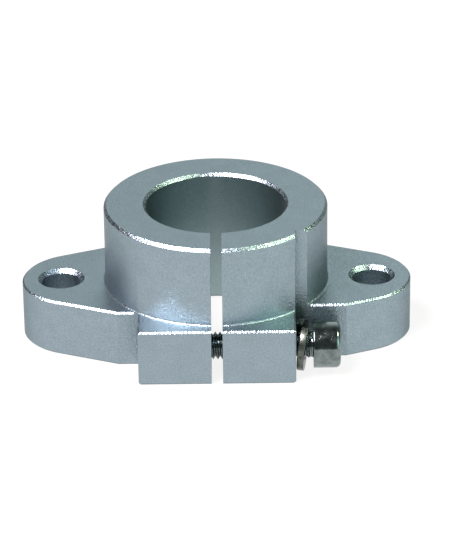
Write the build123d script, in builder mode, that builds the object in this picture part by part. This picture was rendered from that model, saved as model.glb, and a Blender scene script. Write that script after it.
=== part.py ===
"""Flanged shaft support with a split clamp, for a 25 mm shaft.

The origin is where the bore's axis meets the mounting face. +X runs along the two bolt
holes, +Z up the bore, and the clamp's ears point to -Y. All sizes are in millimetres.
"""

from build123d import *
from math import atan, cos, degrees, pi, radians, sin
import os

os.makedirs("parts", exist_ok=True)

# Boss and bore
shaft_diameter = 25.0
boss_wall = 7.5
overall_height = 25.0
bore_chamfer = 0.5
rim_chamfer = 0.5
foot_radius = 0.4

# Flange
flange_thickness = 10.3
boss_to_bolt = 8.0
bolt_to_end = 7.0
end_radius = 10.5
bolt_hole_diameter = 7.0
bolt_hole_chamfer = 0.7
edge_break = 0.3

# Clamp ears and slit
clamp_width = 27.7
slit_width = 2.0
bore_to_screw_hole = 1.75
screw_to_front = 5.25
screw_height = 5.0
clearance_hole_diameter = 5.5
thread_clearance = 0.05
thread_to_step = 0.2
washer_to_recess = 0.4

# Clamp screw, M5
thread_diameter = 4.9
screw_length = 25.0
tip_chamfer = 0.5
head_diameter = 8.3
head_height = 4.8
head_rounding = 0.9
socket_width = 4.0
socket_depth = 2.4
socket_point_angle = 60.0
socket_point_depth = 1.0
head_gap = 0.7

# Spring washer, for M5
washer_inner_diameter = 5.4
washer_outer_diameter = 9.2
washer_thickness = 1.2
washer_rise = 1.2
split_position = 76.0
split_opening = 8.0
seat_clearance = 0.02

# Places that follow from the sizes above
bore_radius = shaft_diameter / 2
boss_radius = bore_radius + boss_wall
bolt_reach = boss_radius + boss_to_bolt
end_reach = bolt_reach + bolt_to_end
clamp_half = clamp_width / 2
screw_setback = bore_radius + bore_to_screw_hole + clearance_hole_diameter / 2
front_reach = screw_setback + screw_to_front
tapped_radius = thread_diameter / 2 + thread_clearance
step_reach = screw_setback - tapped_radius - thread_to_step
recess_reach = screw_setback - washer_outer_diameter / 2 - washer_to_recess
head_underside = clamp_half + seat_clearance + washer_thickness + washer_rise + head_gap
head_end = head_underside + head_height
tip = head_underside - screw_length
washer_middle = clamp_half + seat_clearance + (washer_thickness + washer_rise) / 2
screw_line = Axis((0, -screw_setback, screw_height), (1, 0, 0))
screw_plane = Plane(origin=screw_line.position, x_dir=(0, 1, 0), z_dir=screw_line.direction)

# The outline seen from above: boss and rounded ends joined by tangents, plus the clamp ears.
# A step beside the left ear clears its tapped hole, and a recess on the right the screw's head.
with BuildSketch() as outline:
    Circle(boss_radius)
    with Locations((end_radius - end_reach, 0), (end_reach - end_radius, 0)):
        Circle(end_radius)
    make_hull()
    with Locations((-clamp_half, -step_reach)):
        Rectangle(end_reach, front_reach, align=(Align.MAX, Align.MAX), mode=Mode.SUBTRACT)
    with Locations((clamp_half, -recess_reach)):
        Rectangle(end_reach, front_reach, align=(Align.MIN, Align.MAX), mode=Mode.SUBTRACT)
    Rectangle(clamp_width, front_reach, align=(Align.CENTER, Align.MAX))
    chamfer(outline.vertices().group_by(Axis.Y)[0], edge_break)

# The flange with all its edges broken
with BuildPart() as flange:
    extrude(outline.sketch, amount=flange_thickness)
    chamfer(flange.faces().filter_by(Axis.Z).edges(), edge_break)

# The block: the outline at full height, turned down to the boss above the flange
with BuildPart() as support_block:
    extrude(outline.sketch, amount=overall_height)
    chamfer(support_block.faces().sort_by(Axis.Z)[0].edges(), edge_break)
    with BuildSketch(Plane.XZ) as turned_profile:
        with BuildLine():
            Polyline(
                (0, 0),
                (boss_radius + foot_radius, 0),
                (boss_radius + foot_radius, flange_thickness),
            )
            JernArc(
                (boss_radius + foot_radius, flange_thickness), (-1, 0), foot_radius, -90
            )
            Polyline(
                (boss_radius, flange_thickness + foot_radius),
                (boss_radius, overall_height - rim_chamfer),
                (boss_radius - rim_chamfer, overall_height),
                (0, overall_height),
                (0, 0),
            )
        make_face()
    revolve(axis=Axis.Z, mode=Mode.INTERSECT)
    add(flange.part)

    # Bore and bolt holes, with their edges chamfered: the bolt holes widely at the top only
    Hole(bore_radius)
    chamfer(support_block.edges(Select.LAST).filter_by(GeomType.CIRCLE), bore_chamfer)
    with Locations((-bolt_reach, 0), (bolt_reach, 0)):
        Hole(bolt_hole_diameter / 2)
    hole_rims = support_block.edges(Select.LAST).filter_by(GeomType.CIRCLE).group_by(Axis.Z)
    chamfer(hole_rims[-1], bolt_hole_chamfer)
    chamfer(hole_rims[0], edge_break)

    # The slit, from the front face into the bore
    with BuildSketch() as slit:
        Rectangle(slit_width, front_reach, align=(Align.CENTER, Align.MAX))
    extrude(amount=overall_height, mode=Mode.SUBTRACT)

    # The screw's holes: clearance in the right ear, thread in the left one
    with Locations(screw_plane.offset(clamp_half)):
        Hole(clearance_hole_diameter / 2, depth=clamp_half)
    with Locations(-screw_plane.offset(-clamp_half)):
        Hole(tapped_radius, depth=clamp_half)
support_block.part.label = "support_block"
export_step(support_block.part, "parts/support_block.step")

# The clamp screw, turned from a half profile about its own axis: tip at the left, head at the right
with BuildPart() as clamp_screw:
    with BuildSketch(Plane(origin=screw_line.position)) as half_profile:
        with BuildLine():
            Polyline(
                (tip, 0),
                (tip, thread_diameter / 2 - tip_chamfer),
                (tip + tip_chamfer, thread_diameter / 2),
                (head_underside, thread_diameter / 2),
                (head_underside, head_diameter / 2),
                (head_end, head_diameter / 2),
                (head_end, 0),
                close=True,
            )
        make_face()
        outer_corner = half_profile.vertices().group_by(Axis.X)[-1].sort_by(Axis.Y)[-1]
        fillet(outer_corner, head_rounding)
    revolve(axis=screw_line)
    # The hexagon socket, with the drill's point at its bottom
    with BuildSketch(screw_plane.offset(head_end)):
        RegularPolygon(socket_width / 2, 6, major_radius=False)
    extrude(amount=-socket_depth, mode=Mode.SUBTRACT)
    with BuildSketch(screw_plane.offset(head_end - socket_depth)):
        Circle(socket_width / 2)
    extrude(amount=-socket_point_depth, taper=socket_point_angle, mode=Mode.SUBTRACT)
clamp_screw.part.label = "clamp_screw"
export_step(clamp_screw.part, "parts/clamp_screw.step")

# The spring washer: a split ring wound as a left-hand helix, first drawn flat on its own axis
with BuildPart() as ring:
    with BuildLine() as coil:
        Helix(
            pitch=washer_rise,
            height=washer_rise * (1 - split_opening / 360),
            radius=(washer_inner_diameter + washer_outer_diameter) / 4,
            center=(0, 0, -washer_rise / 2),
            lefthand=True,
        )
    with BuildSketch(Plane(origin=coil.line @ 0, x_dir=(1, 0, 0), z_dir=coil.line % 0)):
        Rectangle((washer_outer_diameter - washer_inner_diameter) / 2, washer_thickness)
    sweep(is_frenet=True)

# On a flat face such a ring rests on the start of its turn and on one more point, where the angle
# round the ring equals its own tangent (4.4934 radians), so it leans a little
resting_angle = 4.4934
lean = atan(washer_rise * (1 + resting_angle**2) ** 0.5 / (pi * washer_outer_diameter))
split_angle = radians(split_position)
resting_plane = Plane(
    origin=(washer_middle, -screw_setback, screw_height),
    x_dir=(0, -cos(split_angle), sin(split_angle)),
    z_dir=(1, 0, 0),
).rotated((-degrees(lean), 0, 0))
with BuildPart() as spring_washer:
    with Locations(resting_plane):
        add(ring.part)
spring_washer.part.label = "spring_washer"
export_step(spring_washer.part, "parts/spring_washer.step")
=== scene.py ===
# %% [markdown]
# # A flanged shaft support with a clamp screw
#
# The object is a small aluminium block that holds a 25 mm round shaft: a boss on a flange with
# two bolt holes, bored through, split at the front and closed by a cap screw with a spring
# washer. Its measured solids come from the CAD model, already in place. This lesson dresses
# them: it gives each surface the finish of the real one, makes the screw's thread and the
# washer anew with numpy, and sets up the paper, the lamps and the camera of the photograph.

# %% Load the frame
import bmesh
import bpy
import numpy as np
from mathutils import Matrix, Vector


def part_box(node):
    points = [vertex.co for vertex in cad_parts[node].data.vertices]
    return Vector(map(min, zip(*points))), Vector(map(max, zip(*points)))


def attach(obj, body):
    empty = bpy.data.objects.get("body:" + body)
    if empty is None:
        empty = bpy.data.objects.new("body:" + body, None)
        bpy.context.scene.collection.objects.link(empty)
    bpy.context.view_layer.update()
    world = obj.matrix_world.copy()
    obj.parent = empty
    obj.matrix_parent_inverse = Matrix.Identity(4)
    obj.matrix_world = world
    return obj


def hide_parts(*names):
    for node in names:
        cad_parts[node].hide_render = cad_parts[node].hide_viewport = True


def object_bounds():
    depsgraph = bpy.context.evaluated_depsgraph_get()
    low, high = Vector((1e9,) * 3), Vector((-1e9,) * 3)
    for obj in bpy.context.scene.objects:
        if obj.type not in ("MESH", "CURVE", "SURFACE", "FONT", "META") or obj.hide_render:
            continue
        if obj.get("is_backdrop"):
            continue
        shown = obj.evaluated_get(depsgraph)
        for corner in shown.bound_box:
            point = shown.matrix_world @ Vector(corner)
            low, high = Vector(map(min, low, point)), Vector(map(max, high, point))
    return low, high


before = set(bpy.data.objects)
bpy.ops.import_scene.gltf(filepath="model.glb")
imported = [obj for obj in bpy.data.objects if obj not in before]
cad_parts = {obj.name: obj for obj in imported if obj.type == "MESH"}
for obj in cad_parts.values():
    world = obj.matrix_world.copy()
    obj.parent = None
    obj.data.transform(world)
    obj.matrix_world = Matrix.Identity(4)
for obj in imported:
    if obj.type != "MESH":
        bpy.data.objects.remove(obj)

cad_low, cad_high = (list(map(float, corner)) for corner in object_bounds())
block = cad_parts["support_block"]
print("nodes:", sorted(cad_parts))
print("CAD box in mm:", np.round(np.subtract(cad_high, cad_low) * 1000, 2))

# %% [markdown]
# ## Sizes
#
# Blender works in metres here, and the drawing in millimetres. Every size below is written in
# millimetres, and `MM` turns it into metres once, where a mesh or a pattern is made. The screw
# lies along X, and the box of its CAD solid gives the places of its tip and of its head's end.

# %% Millimetres, and where the screw lies
MM = 0.001
SCREW_Y, SCREW_Z = -17.0, 5.0
TIP, HEAD_END = (corner[0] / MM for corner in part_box("clamp_screw"))
print("the screw is", round(HEAD_END - TIP, 2), "mm long")

# %% [markdown]
# ## Small helpers
#
# A colour is written as it looks on a screen, as a hex value, but a shader wants linear light,
# so one function converts it. A material is a graph of nodes, and one more function adds a
# node with its settings and links in a single readable line.

# %% Helpers for colours and nodes
def linear(colour):
    """An sRGB hex colour as linear red, green, blue and alpha."""
    steps = np.array([int(colour[i:i + 2], 16) for i in (1, 3, 5)]) / 255
    low, high = steps / 12.92, ((steps + 0.055) / 1.055) ** 2.4
    return (*np.where(steps <= 0.04045, low, high).tolist(), 1.0)


def add(material, kind, settings=(), links=()):
    """Adds a node. A setting is an attribute or an input socket, a link an input and a source."""
    node = material.node_tree.nodes.new("ShaderNode" + kind)
    for name, value in dict(settings).items():
        if isinstance(name, str) and hasattr(node, name):
            setattr(node, name, value)
        else:
            node.inputs[name].default_value = value
    for name, source in dict(links).items():
        material.node_tree.links.new(source, node.inputs[name])
    return node


def new_material(name):
    """An empty material with its output node."""
    material = bpy.data.materials.new(name)
    material.use_nodes = True
    material.node_tree.nodes.clear()
    return material, add(material, "OutputMaterial")


print("linear mid grey:", round(linear("#808080")[0], 3))

# %% [markdown]
# ## Bead-blasted aluminium
#
# The block is machined, then blasted with fine glass beads and clear anodised. Its edges were
# broken with a cutter after that, and its bore was turned last. So one solid shows three
# finishes, and the first nodes find where each lies. Painting them by hand would also work, but
# nodes that look at the shape itself follow the solid when its sizes change.
#
# The broken edges face 45 degrees up, so the height of the normal tells them. Besides them
# only the middle of the small fillet at the boss's foot faces that way, and the photograph
# shows a bright line there too. The bore is whatever lies nearer to the shaft's axis than its
# own radius, 12.5 mm, and a hair more.

# %% Aluminium: where the edges and the bore are
EDGE_NORMAL, EDGE_RANGE = 0.707, 0.12           # the height of a normal at 45 degrees
BORE_LIMIT = 12.55
blasted, out = new_material("bead_blasted_aluminium")
place = add(blasted, "TexCoord").outputs["Object"]
normal = add(blasted, "NewGeometry").outputs["True Normal"]
facing = add(blasted, "SeparateXYZ", links={"Vector": normal})
on_edge = add(
    blasted, "Math", {"operation": "COMPARE", 1: EDGE_NORMAL, 2: EDGE_RANGE},
    {0: facing.outputs["Z"]},
)
spot = add(blasted, "SeparateXYZ", links={"Vector": place})
flat_spot = add(blasted, "CombineXYZ", links={"X": spot.outputs["X"], "Y": spot.outputs["Y"]})
from_axis = add(blasted, "VectorMath", {"operation": "LENGTH"}, {"Vector": flat_spot.outputs[0]})
in_bore = add(
    blasted, "Math", {"operation": "LESS_THAN", 1: BORE_LIMIT * MM},
    {0: from_axis.outputs["Value"]},
)
print("the bore's finish ends", BORE_LIMIT, "mm from the axis")

# %% [markdown]
# The beads leave dents of a few hundredths of a millimetre. A pixel of this picture is 0.18 mm
# wide, so the dents are drawn at 0.25 mm as a noise and at 0.38 mm as the round bowls of a
# Voronoi pattern, the finest that shows. A slower noise stands for the uneven blasting. A
# photographed texture could do the same, but these patterns need no unwrapping, have no seams
# and stay sharp from near by.

# %% Aluminium: dents, bowls and clouds, by their size in millimetres
DENT, BOWL, CLOUD = 0.25, 0.38, 3.0
dents = add(
    blasted, "TexNoise", {"Scale": 1 / (DENT * MM), "Detail": 2.0, "Roughness": 0.6},
    {"Vector": place},
)
bowls = add(blasted, "TexVoronoi", {"Scale": 1 / (BOWL * MM)}, {"Vector": place})
clouds = add(blasted, "TexNoise", {"Scale": 1 / (CLOUD * MM), "Detail": 3.0}, {"Vector": place})
print("dents at", DENT, "mm and bowls at", BOWL, "mm")

# %% [markdown]
# On the edges, a noise of half a millimetre is the chatter of the cutter. Where it is low the
# cutter left nothing smooth, and the edge looks as blasted as the rest. Waves along the shaft's
# axis are the marks of the turning tool in the bore. A Wave Texture at scale 1 repeats every
# 0.314 units, so its scale is that length divided by the real one.

# %% Aluminium: chatter and tool marks, by their size in millimetres
CHATTER, TOOL_MARK = 0.5, 0.25
WAVE_LENGTH = 0.314
chatter = add(blasted, "TexNoise", {"Scale": 1 / (CHATTER * MM), "Detail": 2.0}, {"Vector": place})
smooth_bits = add(
    blasted, "MapRange", {"From Min": 0.45, "From Max": 0.60}, {"Value": chatter.outputs["Fac"]}
)
smooth_edge = add(
    blasted, "Math", {"operation": "MULTIPLY"}, {0: on_edge.outputs[0], 1: smooth_bits.outputs[0]}
)
tool_marks = add(
    blasted, "TexWave",
    {"bands_direction": "Z", "Scale": WAVE_LENGTH / (TOOL_MARK * MM), "Distortion": 1.0},
    {"Vector": place},
)
print("chatter at", CHATTER, "mm and tool marks at", TOOL_MARK, "mm")

# %% [markdown]
# The metal is a cool grey. The dents make it up to a seventh paler or darker, which is the
# speckle in the photograph, and the clouds a few percent. The smooth bits of the edges are a
# little paler.

# %% Aluminium: its colour
ALUMINIUM, SPARK, TURNED = "#93a3aa", "#98a7ad", "#91a3a5"
speckle = add(
    blasted, "MapRange", {"From Min": 0.3, "From Max": 0.7, "To Min": 0.85, "To Max": 1.13},
    {"Value": dents.outputs["Fac"]},
)
patch = add(
    blasted, "MapRange", {"From Min": 0.3, "From Max": 0.7, "To Min": 0.96, "To Max": 1.03},
    {"Value": clouds.outputs["Fac"]},
)
shade = add(blasted, "Math", {"operation": "MULTIPLY"}, {0: speckle.outputs[0], 1: patch.outputs[0]})
ground = add(
    blasted, "Mix", {"data_type": "RGBA", 6: linear(ALUMINIUM), 7: linear(TURNED)},
    {0: in_bore.outputs[0]},
)
grained = add(
    blasted, "VectorMath", {"operation": "SCALE"}, {0: ground.outputs[2], "Scale": shade.outputs[0]}
)
colour = add(
    blasted, "Mix", {"data_type": "RGBA", 7: linear(SPARK)},
    {0: smooth_edge.outputs[0], 6: grained.outputs[0]},
)
print("aluminium", ALUMINIUM, "edges", SPARK, "bore", TURNED)

# %% [markdown]
# Dented metal has no clear reflections. It is a metal with a middling roughness, which still
# shows the pale and the dark sides of the room softly, and the dents move the roughness, so a
# mirrored lamp breaks up into sparkle. The bore has an even roughness, and the edges are the
# smoothest, so they flash as thin white lines.

# %% Aluminium: its roughness
DULLEST, SHINIEST = 0.50, 0.24
BORE_ROUGHNESS, EDGE_ROUGHNESS = 0.35, 0.21
soft = add(
    blasted, "MapRange",
    {"From Min": 0.3, "From Max": 0.7, "To Min": DULLEST, "To Max": SHINIEST},
    {"Value": dents.outputs["Fac"]},
)
turned = add(blasted, "Mix", {3: BORE_ROUGHNESS}, {0: in_bore.outputs[0], 2: soft.outputs[0]})
rough = add(blasted, "Mix", {3: EDGE_ROUGHNESS}, {0: smooth_edge.outputs[0], 2: turned.outputs[0]})
print("roughness", SHINIEST, "to", DULLEST, "and at the edges", EDGE_ROUGHNESS)

# %% [markdown]
# A Bump node tilts the light on a surface as a relief of the given depth would. The dents and
# bowls make the first relief, and in the bore faint rings take their place. The chatter makes
# the second one, on the edges alone, and breaks the ends of their white lines into sparks.

# %% Aluminium: its relief
BOWL_SHARE, RING_SHARE = 0.9, 0.12              # beside the height of the dents, which is 1
DENT_DEPTH, CHATTER_DEPTH = 0.045, 0.055
pitted = add(
    blasted, "Math", {"operation": "MULTIPLY_ADD", 1: BOWL_SHARE},
    {0: bowls.outputs["Distance"], 2: dents.outputs["Fac"]},
)
faint_rings = add(
    blasted, "Math", {"operation": "MULTIPLY", 1: RING_SHARE}, {0: tool_marks.outputs["Fac"]}
)
height = add(
    blasted, "Mix", links={0: in_bore.outputs[0], 2: pitted.outputs[0], 3: faint_rings.outputs[0]}
)
dented = add(
    blasted, "Bump", {"Strength": 1.0, "Distance": DENT_DEPTH * MM}, {"Height": height.outputs[0]}
)
edge_height = add(
    blasted, "Math", {"operation": "MULTIPLY"}, {0: on_edge.outputs[0], 1: chatter.outputs["Fac"]}
)
relief = add(
    blasted, "Bump", {"Strength": 1.0, "Distance": CHATTER_DEPTH * MM},
    {"Height": edge_height.outputs[0], "Normal": dented.outputs[0]},
)
print("relief of", DENT_DEPTH, "mm, at the edges", CHATTER_DEPTH, "mm")

# %% [markdown]
# Seen at a grazing angle the walls of the dents shade each other, so blasted metal stays dull
# there, where a polished one would turn bright. A grey specular tint does that. The finished
# material then goes on the block, whose own shape stays as the CAD model made it.

# %% Aluminium: its shader, on the block
GRAZING_TINT = "#b8bab9"
metal = add(
    blasted, "BsdfPrincipled", {"Metallic": 1.0, "Specular Tint": linear(GRAZING_TINT)},
    {"Base Color": colour.outputs[2], "Roughness": rough.outputs[0], "Normal": relief.outputs[0]},
)
blasted.node_tree.links.new(metal.outputs[0], out.inputs["Surface"])
for slot in block.material_slots:
    slot.material = blasted
print("bead-blasted aluminium on", block.name, "with", len(blasted.node_tree.nodes), "nodes")

# %% [markdown]
# ## Nickel-plated steel
#
# The screw and the washer are hardened steel with a bright nickel plating. It mirrors the
# room: the white paper below, the dark ceiling and the lamps as small hot spots. A perfect
# mirror would look unreal, and what makes the plating look handled is fine: small dark pits, a
# few thin scratches, and patches where a finger has left the shine a little duller. The sizes
# of these patterns were matched to the head of the screw in the photograph.

# %% Plated steel: its colour
SMUDGE, PIT_SPACING = 1.3, 1.4
PIT_COLOUR = "#2e3333"


def mottled_colour(steel, place, tone, dark, pale):
    """From dark to pale by the tone. Within a tenth of a cell from the middle of each Voronoi
    cell it turns to the pits' colour."""
    mottled = add(
        steel, "Mix", {"data_type": "RGBA", 6: linear(dark), 7: linear(pale)}, {0: tone}
    )
    spots = add(steel, "TexVoronoi", {"Scale": 1 / (PIT_SPACING * MM)}, {"Vector": place})
    around_pits = add(
        steel, "MapRange", {"From Min": 0.08, "From Max": 0.14}, {"Value": spots.outputs["Distance"]}
    )
    with_pits = add(
        steel, "Mix", {"data_type": "RGBA", 6: linear(PIT_COLOUR)},
        {0: around_pits.outputs[0], 7: mottled.outputs[2]},
    )
    return with_pits.outputs[2]


print("smudges of", SMUDGE, "mm, a pit every", PIT_SPACING, "mm")

# %% [markdown]
# The plating has shallow waves, and the scratches lie on it. The borders of Voronoi cells are
# thin lines that cross the surface at random. Moved by the smudges they bend, and no longer
# look like a net.

# %% Plated steel: its relief
WAVE, SCRATCH_SPACING, BEND = 0.7, 2.3, 0.8
WAVE_DEPTH, SCRATCH_DEPTH = 0.014, 0.006


def scratched_relief(steel, place, smudge):
    """A bump from a noise, then one from the distance to the nearest cell border, which rises
    from nothing to its full height within a hundredth of a cell."""
    waves = add(steel, "TexNoise", {"Scale": 1 / (WAVE * MM), "Detail": 4.0}, {"Vector": place})
    wavy = add(
        steel, "Bump", {"Strength": 0.5, "Distance": WAVE_DEPTH * MM},
        {"Height": waves.outputs["Fac"]},
    )
    shift = add(steel, "VectorMath", {"operation": "SCALE", "Scale": BEND * MM}, {0: smudge})
    moved = add(steel, "VectorMath", {"operation": "ADD"}, {0: place, 1: shift.outputs[0]})
    cells = add(
        steel, "TexVoronoi",
        {"feature": "DISTANCE_TO_EDGE", "Scale": 1 / (SCRATCH_SPACING * MM)},
        {"Vector": moved.outputs[0]},
    )
    scratch = add(
        steel, "MapRange", {"From Min": 0.0, "From Max": 0.010}, {"Value": cells.outputs["Distance"]}
    )
    scratched = add(
        steel, "Bump", {"Strength": 0.5, "Distance": SCRATCH_DEPTH * MM},
        {"Height": scratch.outputs[0], "Normal": wavy.outputs[0]},
    )
    return scratched.outputs[0]


print("scratches about every", SCRATCH_SPACING, "mm,", SCRATCH_DEPTH, "mm deep")

# %% [markdown]
# The washer is darker and duller than the screw, so one function makes both, from
# two colours and the roughness of the cleanest parts. The smudges are a little rougher.

# %% Plated steel: for the screw and for the washer
SMUDGE_ROUGHNESS = 0.10


def plated_steel(name, dark, pale, least_roughness):
    """Metal whose tone, from 0 to 1, is the middle of a noise: pale and duller where it is 1."""
    steel, out = new_material(name)
    place = add(steel, "TexCoord").outputs["Object"]
    smudge = add(steel, "TexNoise", {"Scale": 1 / (SMUDGE * MM), "Detail": 5.0}, {"Vector": place})
    tone = add(
        steel, "MapRange", {"From Min": 0.35, "From Max": 0.65}, {"Value": smudge.outputs["Fac"]}
    ).outputs[0]
    rough = add(
        steel, "MapRange",
        {"To Min": least_roughness, "To Max": least_roughness + SMUDGE_ROUGHNESS}, {"Value": tone},
    )
    metal = add(
        steel, "BsdfPrincipled", {"Metallic": 1.0},
        {
            "Base Color": mottled_colour(steel, place, tone, dark, pale),
            "Roughness": rough.outputs[0],
            "Normal": scratched_relief(steel, place, smudge.outputs["Color"]),
        },
    )
    steel.node_tree.links.new(metal.outputs[0], out.inputs["Surface"])
    print(name, "has", len(steel.node_tree.nodes), "nodes")
    return steel


nickel = plated_steel("nickel_plated_steel", "#66716f", "#828d8c", least_roughness=0.09)
spring_steel = plated_steel(
    "nickel_plated_spring_steel", "#50564f", "#676f67", least_roughness=0.22
)

# %% [markdown]
# ## From an array to a mesh
#
# Every new piece below is a grid of points: rows along the piece and columns around it, worked
# out as one numpy array. This function joins neighbours with four-sided faces, merges the rows
# that fall on each other at a pole, an end or the seam, and turns the faces outwards. Edges
# where the faces meet at more than 32 degrees stay sharp, and all others are shaded smooth.

# %% Helper: a grid of points becomes a closed piece
MERGE, SLIVER = 0.001, 0.0005                   # under these lengths points and edges are joined
SHARP_DEGREES = 32


def piece_from_grid(name, grid, material, body):
    """Rows by columns of points in mm, joined into quads between rows i, i+1 and columns j, j+1."""
    rows, columns, _ = grid.shape
    index = np.arange(rows * columns).reshape(rows, columns)
    quads = np.stack([index[:-1, :-1], index[:-1, 1:], index[1:, 1:], index[1:, :-1]], axis=-1)
    mesh = bpy.data.meshes.new(name)
    mesh.from_pydata((grid.reshape(-1, 3) * MM).tolist(), [], quads.reshape(-1, 4).tolist())
    work = bmesh.new()
    work.from_mesh(mesh)
    bmesh.ops.remove_doubles(work, verts=work.verts, dist=MERGE * MM)
    bmesh.ops.dissolve_degenerate(work, edges=work.edges, dist=SLIVER * MM)
    bmesh.ops.recalc_face_normals(work, faces=work.faces)
    open_edges = sum(not edge.is_manifold for edge in work.edges)
    work.to_mesh(mesh)
    work.free()
    mesh.shade_smooth()
    mesh.set_sharp_from_angle(angle=np.radians(SHARP_DEGREES))
    mesh.materials.append(material)
    piece = bpy.data.objects.new(name, mesh)
    bpy.context.scene.collection.objects.link(piece)
    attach(piece, body)
    print(name, "has", len(mesh.polygons), "faces and", open_edges, "open edges")
    return piece


# %% [markdown]
# ## The thread
#
# A thread is a profile that repeats every pitch and shifts by one pitch for each turn. So its
# radius depends only on the phase: the distance along the screw in pitches, less the turns
# made around it. Blender's Screw modifier could sweep the profile round too, but a radius by
# phase can also fade out under the head and meet the ridges of the tapped hole.
#
# The profile has a narrow flat crest, straight flanks at 60 degrees to each other, and a
# rounded root, as rolled threads have. Its pitch and the place of its crests were read from
# the photograph, through the slit: at the top of the screw one crest stands 0.21 mm left of
# the middle of the slit.

# %% Thread: its profile and its radius
PITCH = 0.8
CREST_RADIUS, ROOT_RADIUS = 2.45, 1.98
FLANK_RADIUS = (CREST_RADIUS + ROOT_RADIUS) / 2
ROOT_CURVE = np.array([0.03, 0.008, 0.0, 0.008, 0.03])
PROFILE_PHASE = np.array([0.0, 0.055, 0.215, 0.375, 0.43, 0.5, 0.57, 0.625, 0.785, 0.945])
PROFILE_RADIUS = np.array([
    CREST_RADIUS, CREST_RADIUS, FLANK_RADIUS, *(ROOT_RADIUS + ROOT_CURVE), FLANK_RADIUS,
    CREST_RADIUS,
])
CREST_AT_TOP = -0.21
CREST_AT_START = CREST_AT_TOP - PITCH / 4      # the crest at turn 0, a quarter turn before the top


def thread_radius(along, turn):
    """Radius by phase: distance along in pitches, less turns around, from the profile above."""
    phase = (along - CREST_AT_START) / PITCH - turn
    return np.interp(phase, PROFILE_PHASE, PROFILE_RADIUS, period=1)


print("thread depth:", round(CREST_RADIUS - ROOT_RADIUS, 2), "mm")

# %% [markdown]
# If the grid ran straight along and around, the crest would cut its faces at a slant and look
# like a saw. Here each column starts a little further along than the last, so the rows follow
# the crest.

# %% Thread: its rows, and points around the screw
COLUMNS = 96
turn = np.linspace(0, 1, COLUMNS + 1)          # from +Y over the top, as a right-hand thread runs


def thread_rows(start, end):
    """Distances along the screw, row by column: whole pitches plus the profile's phases, moved
    on by one pitch over a turn, and held between start and end."""
    first = np.floor((start - CREST_AT_START) / PITCH) - 2
    last = np.ceil((end - CREST_AT_START) / PITCH) + 1
    pitches = np.arange(first, last)
    steps = (pitches[:, None] + PROFILE_PHASE).reshape(-1, 1)
    return np.clip(CREST_AT_START + PITCH * (steps + turn), start, end)


def around(along, radius, turn):
    """Points at a distance along the screw's axis and a radius from it, by turns from +Y."""
    angle = 2 * np.pi * turn
    along, radius, angle = np.broadcast_arrays(along, radius, angle)
    return np.stack([
        along, SCREW_Y + radius * np.cos(angle), SCREW_Z + radius * np.sin(angle),
    ], axis=-1)


print("rows for one turn:", len(PROFILE_PHASE), "columns around:", COLUMNS)

# %% [markdown]
# ## The clamp screw
#
# It is a hexagon socket cap screw. A cylinder with a thread wrapped round it and a socket cut
# into it would do, but such cuts leave long thin faces that shade badly. Here one grid makes
# the whole screw, from the middle of its tip to the bottom of its socket. Its first rows are a
# flat tip, a chamfer and the thread, which fades over its last turn and a half into a short
# neck, as a rolled thread does.

# %% Clamp screw: its tip and threaded shank
HEAD_HEIGHT = 4.8
HEAD_UNDERSIDE = HEAD_END - HEAD_HEIGHT
NECK_RADIUS, NECK_LENGTH, RUNOUT_TURNS = 2.3, 0.1, 1.7
TIP_RADIUS, TIP_SLOPE = ROOT_RADIUS - 0.15, 0.9

thread_end = HEAD_UNDERSIDE - NECK_LENGTH
shank_along = thread_rows(TIP, thread_end)
shank_radius = thread_radius(shank_along, turn)
shank_radius = np.minimum(shank_radius, TIP_RADIUS + (shank_along - TIP) * TIP_SLOPE)
runout = np.clip((thread_end - shank_along) / (RUNOUT_TURNS * PITCH), 0, 1)
shank_radius = NECK_RADIUS + (shank_radius - NECK_RADIUS) * runout

tip_radius = shank_radius[:1] * np.array([[0.0], [0.5], [0.97]])
tip_along = np.full_like(tip_radius, TIP)
print("the thread has", round((HEAD_UNDERSIDE - TIP) / PITCH, 1), "turns")

# %% [markdown]
# The head is turned: a flat underside, a small edge, a straight side and a quarter circle into
# the flat end. Each pair below is a place along the screw and the radius there.

# %% Clamp screw: its head
HEAD_RADIUS, HEAD_ROUNDING = 4.15, 0.9
NECK_FLARE, UNDERSIDE_RING, SIDE_RING = 0.1, 3.2, 0.05
LOWER_EDGE = ((0.0, 0.12), (0.02, 0.05), (0.06, 0.015), (0.12, 0.0), (0.16, 0.0))

bend = np.radians(np.linspace(0, 90, 9))
head_profile = [
    (thread_end, NECK_RADIUS), (HEAD_UNDERSIDE, NECK_RADIUS + NECK_FLARE),
    (HEAD_UNDERSIDE, UNDERSIDE_RING),
    *((HEAD_UNDERSIDE + up, HEAD_RADIUS - inward) for up, inward in LOWER_EDGE),
    (HEAD_END - HEAD_ROUNDING - SIDE_RING, HEAD_RADIUS),
    *zip(
        HEAD_END - HEAD_ROUNDING * (1 - np.sin(bend)),
        HEAD_RADIUS - HEAD_ROUNDING * (1 - np.cos(bend)),
    ),
]
head_along, head_radius = np.array(head_profile).T[:, :, None] + 0 * turn
print("the head's profile has", len(head_profile), "points")

# %% [markdown]
# The radius of a hexagon is its half width divided by the cosine of the angle to the middle of
# the nearest flat. A small cone leads into the socket, and at the bottom the rows close in the
# point that the drill left.

# %% Clamp screw: its socket, and the whole screw
SOCKET_HALF_WIDTH, SOCKET_DEPTH, SOCKET_POINT = 2.0, 2.4, 3.4
LEAD_IN, HEXAGON_START, MOUTH_SCALE = 0.12, 0.16, 1.1

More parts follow.
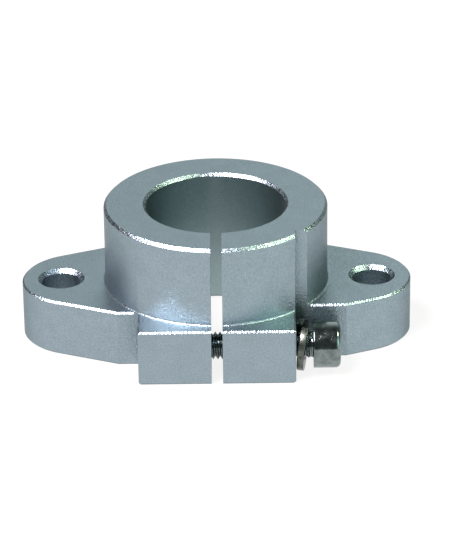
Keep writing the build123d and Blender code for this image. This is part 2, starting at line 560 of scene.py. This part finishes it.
hexagon = SOCKET_HALF_WIDTH / np.cos(2 * np.pi * (turn % (1 / 6)) - np.pi / 6)
mouth = np.maximum(hexagon, MOUTH_SCALE * SOCKET_HALF_WIDTH)
depth = np.array([0, LEAD_IN, HEXAGON_START, SOCKET_DEPTH, SOCKET_POINT])
socket_along = HEAD_END - depth[:, None] + 0 * turn
socket_radius = np.array([mouth + LEAD_IN, mouth, hexagon, hexagon, 0 * hexagon])

screw_grid = around(
    np.vstack([tip_along, shank_along, head_along, socket_along]),
    np.vstack([tip_radius, shank_radius, head_radius, socket_radius]), turn,
)
clamp_screw = piece_from_grid("threaded_clamp_screw", screw_grid, nickel, "screw")
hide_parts("clamp_screw")

# %% [markdown]
# ## The tapped hole
#
# The left ear's hole is tapped, and its ridges fill the screw's grooves. The CAD solid has a
# plain hole there and stays as it is, so the ridges are a thin sleeve in it: a ridged inside,
# and a plain outside that hides in the metal of the ear. The ridges' radius is the screw's own
# plus a play of 0.05 mm, held between the drill's and the tap's radius, so both threads mesh
# wherever the screw stands. Each end has a small countersink.

# %% Tapped hole: the ridges in the left ear
HOLE_START, HOLE_END = -13.81, -1.04
DRILL_RADIUS, TAP_RADIUS, SLEEVE_RADIUS, THREAD_PLAY = 2.08, 2.49, 2.62, 0.05
ridge_along = thread_rows(HOLE_START, HOLE_END)
ridge_radius = np.clip(thread_radius(ridge_along, turn) + THREAD_PLAY, DRILL_RADIUS, TAP_RADIUS)
from_end = np.minimum(ridge_along - HOLE_START, HOLE_END - ridge_along)
ridge_radius = np.maximum(ridge_radius, np.clip(TAP_RADIUS - from_end, DRILL_RADIUS, TAP_RADIUS))
sleeve_along = np.array([[HOLE_END], [HOLE_START], [HOLE_START]]) + 0 * turn
sleeve_radius = np.array([[SLEEVE_RADIUS], [SLEEVE_RADIUS], [TAP_RADIUS]]) + 0 * turn
tapped_grid = around(
    np.vstack([ridge_along, sleeve_along]), np.vstack([ridge_radius, sleeve_radius]), turn
)
piece_from_grid("tapped_thread", tapped_grid, blasted, "block")

# %% [markdown]
# ## The spring washer
#
# A spring washer is a bar of nearly square steel wound to one turn of a left-hand helix and
# cut at a slant, so its two ends stand apart until the screw presses them flat. Its corners are
# rounded by the rolling of the bar, and they catch the lamps. A plain ring with a cut would lie
# flat and miss all of that, so a rounded rectangle is carried along the helix. First comes the
# rectangle: one rounded corner, mirrored into the other three.

# %% Spring washer: the section of its bar
BAR_WIDTH, BAR_THICKNESS, BAR_CORNER = 1.9, 1.2, 0.13
corner = np.radians(np.linspace(0, 90, 6))
corner_x = BAR_WIDTH / 2 - BAR_CORNER * (1 - np.cos(corner))
corner_y = BAR_THICKNESS / 2 - BAR_CORNER * (1 - np.sin(corner))
bar_x = np.concatenate([corner_x, -corner_x[::-1], -corner_x, corner_x[::-1], corner_x[:1]])
bar_y = np.concatenate([corner_y, corner_y[::-1], -corner_y, -corner_y[::-1], corner_y[:1]])
print("the bar's section has", len(bar_x) - 1, "points")

# %% [markdown]
# Then comes the helix. At each step along it three directions carry the section: outwards from
# the ring's axis, ahead along the bar, and upwards across both. At its two ends the section
# first shrinks a little, which rounds the cut, and then to a point, which closes it.

# %% Spring washer: the bar along its helix
COIL_RADIUS, RISE, OPENING_DEGREES, CUT_FULLNESS = 3.65, 1.2, 8.0, 0.93
run = np.linspace(0, 1 - OPENING_DEGREES / 360, 145)
run = np.concatenate([run[[0, 0]], run, run[[-1, -1]]])[:, None]
fullness = np.ones_like(run)
fullness[[0, -1]], fullness[[1, -2]] = 0.0, CUT_FULLNESS
angle = -2 * np.pi * run                        # minus: a left-hand helix
slope = RISE / (2 * np.pi * COIL_RADIUS)
outward = np.stack([np.cos(angle), np.sin(angle), 0 * angle], axis=-1)
ahead = np.stack([np.sin(angle), -np.cos(angle), slope + 0 * angle], axis=-1)
ahead /= np.linalg.norm(ahead, axis=-1, keepdims=True)
upward = np.cross(ahead, outward)
upward *= np.sign(upward[..., 2:])
middle = COIL_RADIUS * outward + np.stack([0 * run, 0 * run, RISE * (run - 0.5)], axis=-1)
ring = middle + outward * (fullness * bar_x)[..., None] + upward * (fullness * bar_y)[..., None]
print("the ring's ends stand", round(float(RISE * run[-1, 0]), 2), "mm apart along its axis")

# %% [markdown]
# On a flat face such a ring rests on its lower end and on one more point, so it leans by about
# 11 degrees, as the CAD model's solid does. The lean's tangent is the height of the ring's
# underside at that point, divided by how far the point lies from the line through the lower
# end and the middle. Three axes then turn the ring: its own X points to the split, and its own
# Z lies along the screw, but for the lean.

# %% Spring washer: leaning on the ear
WASHER_MIDDLE, SPLIT_DEGREES = 15.07, 76.0
REST_TURN = 4.4934                              # where the angle equals its own tangent
lean = np.arctan(RISE * np.sqrt(1 + REST_TURN ** 2) / (np.pi * (2 * COIL_RADIUS + BAR_WIDTH)))
split = np.radians(SPLIT_DEGREES)
ring_x = np.array([0, -np.cos(split), np.sin(split)])
ring_z = np.array([1, 0, 0])
ring_y = np.cross(ring_z, ring_x)
leaning = np.array([
    ring_x,
    np.cos(lean) * ring_y - np.sin(lean) * ring_z,
    np.sin(lean) * ring_y + np.cos(lean) * ring_z,
])
washer_grid = ring @ leaning + np.array([WASHER_MIDDLE, SCREW_Y, SCREW_Z])
spring_washer = piece_from_grid(
    "rounded_spring_washer", washer_grid, spring_steel, "washer"
)
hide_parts("spring_washer")
washer_low, washer_high = (np.array(corner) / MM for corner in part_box("spring_washer"))
print("it leans", round(float(np.degrees(lean)), 1), "degrees, and is off the CAD washer's box by",
      np.round(washer_grid.min((0, 1)) - washer_low, 3),
      np.round(washer_grid.max((0, 1)) - washer_high, 3), "mm")

# %% [markdown]
# ## The paper
#
# The photograph was taken on white paper and its background is pure white. Lamps bright enough
# to make the paper white in the slit too would be too bright for the metal. So most of the
# white is a glow that only rays from the camera and from shiny or clear surfaces see, and the
# rest is plain matt paper, which takes the block's soft shadow and reflects light on its sides.

# %% White paper
GLOW_SHARE, GLOW_STRENGTH, FIBRE = 0.92, 0.95, 4.0
paper, out = new_material("white_paper")
path = add(paper, "LightPath")
seen = add(
    paper, "Math", {"operation": "MAXIMUM"},
    {0: path.outputs["Is Camera Ray"], 1: path.outputs["Is Glossy Ray"]},
)
seen = add(
    paper, "Math", {"operation": "MAXIMUM"},
    {0: seen.outputs[0], 1: path.outputs["Is Transmission Ray"]},
)
share = add(paper, "Math", {"operation": "MULTIPLY", 1: GLOW_SHARE}, {0: seen.outputs[0]})
place = add(paper, "TexCoord").outputs["Object"]
fibres = add(paper, "TexNoise", {"Scale": 1 / (FIBRE * MM), "Detail": 2.0}, {"Vector": place})
white = add(
    paper, "Mix", {"data_type": "RGBA", 6: linear("#f7f7f7"), 7: linear("#fbfbfb")},
    {0: fibres.outputs["Fac"]},
)
matt = add(paper, "BsdfDiffuse", links={"Color": white.outputs[2]})
glow = add(paper, "Emission", {"Color": linear("#ffffff"), "Strength": GLOW_STRENGTH})
both = add(paper, "MixShader", links={0: share.outputs[0], 1: matt.outputs[0], 2: glow.outputs[0]})
paper.node_tree.links.new(both.outputs[0], out.inputs["Surface"])
print("the glow is", GLOW_SHARE, "of what the camera sees of the paper")

# %% [markdown]
# The paper is one large flat face, a hair below the block's foot, so that the two never lie in
# the same plane, where they would flicker. It is far wider than the picture, because the metal
# mirrors it too.

# %% Floor
FLOOR_HALF, FLOOR_DROP = 4000.0, 0.02
floor_corners = np.array([(-1, -1, 0), (1, -1, 0), (1, 1, 0), (-1, 1, 0)]) * FLOOR_HALF
floor_corners = (floor_corners - [0, 0, FLOOR_DROP]) * MM
floor_mesh = bpy.data.meshes.new("paper_floor")
floor_mesh.from_pydata(floor_corners.tolist(), [], [(0, 1, 2, 3)])
floor_mesh.materials.append(paper)
floor = bpy.data.objects.new("paper_floor", floor_mesh)
bpy.context.scene.collection.objects.link(floor)
floor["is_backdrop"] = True
print("the floor is", 2 * FLOOR_HALF * MM, "m wide")

# %% [markdown]
# ## The light
#
# Lamps, the pale parts of the room and the camera are all placed by two angles: how far round
# from the front, where right is plus, and how far up. One function turns them into a direction,
# and another puts a thing there and aims it.

# %% Helpers: a direction, and a thing that stands there
def direction(azimuth, elevation):
    """The azimuth's sine and minus its cosine, both times the elevation's cosine, and the
    elevation's sine, as a vector of length 1."""
    a, e = np.radians([azimuth, elevation])
    return np.array([np.sin(a) * np.cos(e), -np.cos(a) * np.cos(e), np.sin(e)])


def stand(thing, azimuth, elevation, distance, target=(0, 0, 0), roll=0.0):
    """Aims a thing at a target from a distance, both in mm. Its Z points away from the target,
    its X level to the side and its Y across both, and the roll turns X towards Y."""
    away = direction(azimuth, elevation)
    a, r = np.radians([azimuth, roll])
    side = np.array([np.cos(a), np.sin(a), 0.0])
    up = np.cross(away, side)
    axes = [side * np.cos(r) + up * np.sin(r), up * np.cos(r) - side * np.sin(r), away]
    turned_to = Matrix(np.stack(axes, axis=1).tolist()).to_4x4()
    thing.matrix_world = Matrix.Translation(((away * distance + target) * MM).tolist()) @ turned_to
    bpy.context.scene.collection.objects.link(thing)


print("straight ahead and level is", np.round(direction(0, 0), 2))

# %% [markdown]
# The bright spots on the screw's head and washer tell where the lamps stood: a large one 50
# degrees round to the left and high up, and a small greenish one nearly at the right. Both are
# soft boxes, which Blender calls area lamps.

# %% Lamps
LAMP_DISTANCE = 900.0


def soft_box(name, azimuth, elevation, width, height, power, colour):
    """A rectangular lamp aimed at the block, with its sides in mm and its power in watts."""
    lamp = bpy.data.lights.new(name, "AREA")
    lamp.shape, lamp.size, lamp.size_y = "RECTANGLE", width * MM, height * MM
    lamp.energy, lamp.color = power, linear(colour)[:3]
    box = bpy.data.objects.new(name, lamp)
    stand(box, azimuth, elevation, LAMP_DISTANCE)
    print(name, "stands at", np.round(box.matrix_world.translation, 2), "m with", power, "W")


soft_box(
    "left_soft_box", azimuth=-50, elevation=55, width=560, height=440, power=28.0,
    colour="#fff0f8",
)
soft_box(
    "right_soft_box", azimuth=84, elevation=49, width=280, height=170, power=3.8,
    colour="#f0ffd4",
)

# %% [markdown]
# Metal shows its room more than its lamps. The flat tops mirror what is low behind the block,
# where the paper sweeps up, and the sides that face right mirror a pale panel in front of them.
# The rest of the room is dim, and the screw's head mirrors it as a dark band. The room could
# be built of boards, but the colour of the world does the same: each pale patch is a function
# of a ray's direction, brightest at its centre and fading smoothly around it.

# %% Room: a dim colour and two pale patches in it
DIM = "#5a5f5f"
world = bpy.data.worlds.new("dim_room")
bpy.context.scene.world = world
world.use_nodes = True
world.node_tree.nodes.clear()
out = add(world, "OutputWorld")
way = add(world, "TexCoord").outputs["Generated"]


def pale_patch(azimuth, elevation, tightness, brightness, colour):
    """Colour by direction: brightness times e to the power tightness times (cosine - 1)."""
    centre = direction(azimuth, elevation).tolist()
    cosine = add(world, "VectorMath", {"operation": "DOT_PRODUCT", 1: centre}, {0: way})
    power = add(
        world, "Math",
        {"operation": "MULTIPLY_ADD", 1: tightness, 2: np.log(brightness) - tightness},
        {0: cosine.outputs["Value"]},
    )
    strength = add(world, "Math", {"operation": "EXPONENT"}, {0: power.outputs[0]})
    return add(
        world, "VectorMath", {"operation": "SCALE", 0: linear(colour)[:3]},
        {"Scale": strength.outputs[0]},
    )


paper_sweep = pale_patch(
    azimuth=171, elevation=27, tightness=13, brightness=1.38, colour="#f8fffd"
)
right_panel = pale_patch(
    azimuth=60, elevation=22, tightness=14, brightness=2.7, colour="#d4faf4"
)
patches = add(
    world, "VectorMath", {"operation": "ADD"},
    {0: paper_sweep.outputs[0], 1: right_panel.outputs[0]},
)
room = add(
    world, "VectorMath", {"operation": "ADD", 1: linear(DIM)[:3]}, {0: patches.outputs[0]}
)
sky = add(world, "Background", {"Strength": 1.0}, {"Color": room.outputs[0]})
world.node_tree.links.new(sky.outputs[0], out.inputs["Surface"])
print("the room has", len(world.node_tree.nodes), "nodes")

# %% [markdown]
# ## The camera
#
# A camera can be set by eye, but its edges then miss those of the photograph by a pixel or two.
# This one was worked out from 150 points along the edges in the photograph, fitted to the same
# edges of the CAD model: 578 mm away, 25.6 degrees up, nearly in the plane of the slit. The
# object is left of the picture's middle, so the lens is shifted by a few percent.

# %% Camera
DISTANCE, ELEVATION, AZIMUTH, ROLL = 577.546, 25.6336, 0.1650, -0.7736
AIM = (0, 0, 12.5)                              # half the block's height, on the shaft's axis
FOCAL_PX, MIDDLE_X, MIDDLE_Y = 3205.585, 216.261, 265.384
WIDTH_PX, HEIGHT_PX = 468, 558
lens = bpy.data.cameras.new("camera")
lens.sensor_width = 36.0
lens.lens = FOCAL_PX * lens.sensor_width / HEIGHT_PX
lens.shift_x = (WIDTH_PX / 2 - MIDDLE_X) / HEIGHT_PX
lens.shift_y = (MIDDLE_Y - HEIGHT_PX / 2) / HEIGHT_PX
lens.clip_start, lens.clip_end = 0.01, 20.0
camera = bpy.data.objects.new("camera", lens)
stand(camera, AZIMUTH, ELEVATION, DISTANCE, target=AIM, roll=ROLL)
bpy.context.scene.camera = camera
bpy.context.scene.view_settings.view_transform = "Standard"
print("camera at", np.round(camera.matrix_world.translation, 4), "lens", round(lens.lens, 1), "mm")

# %% Compare the boxes and finish
low, high = (list(map(float, corner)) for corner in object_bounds())
grown = np.subtract(high, low) - np.subtract(cad_high, cad_low)
print("the dressed box differs by", np.round(grown / MM, 3), "mm")
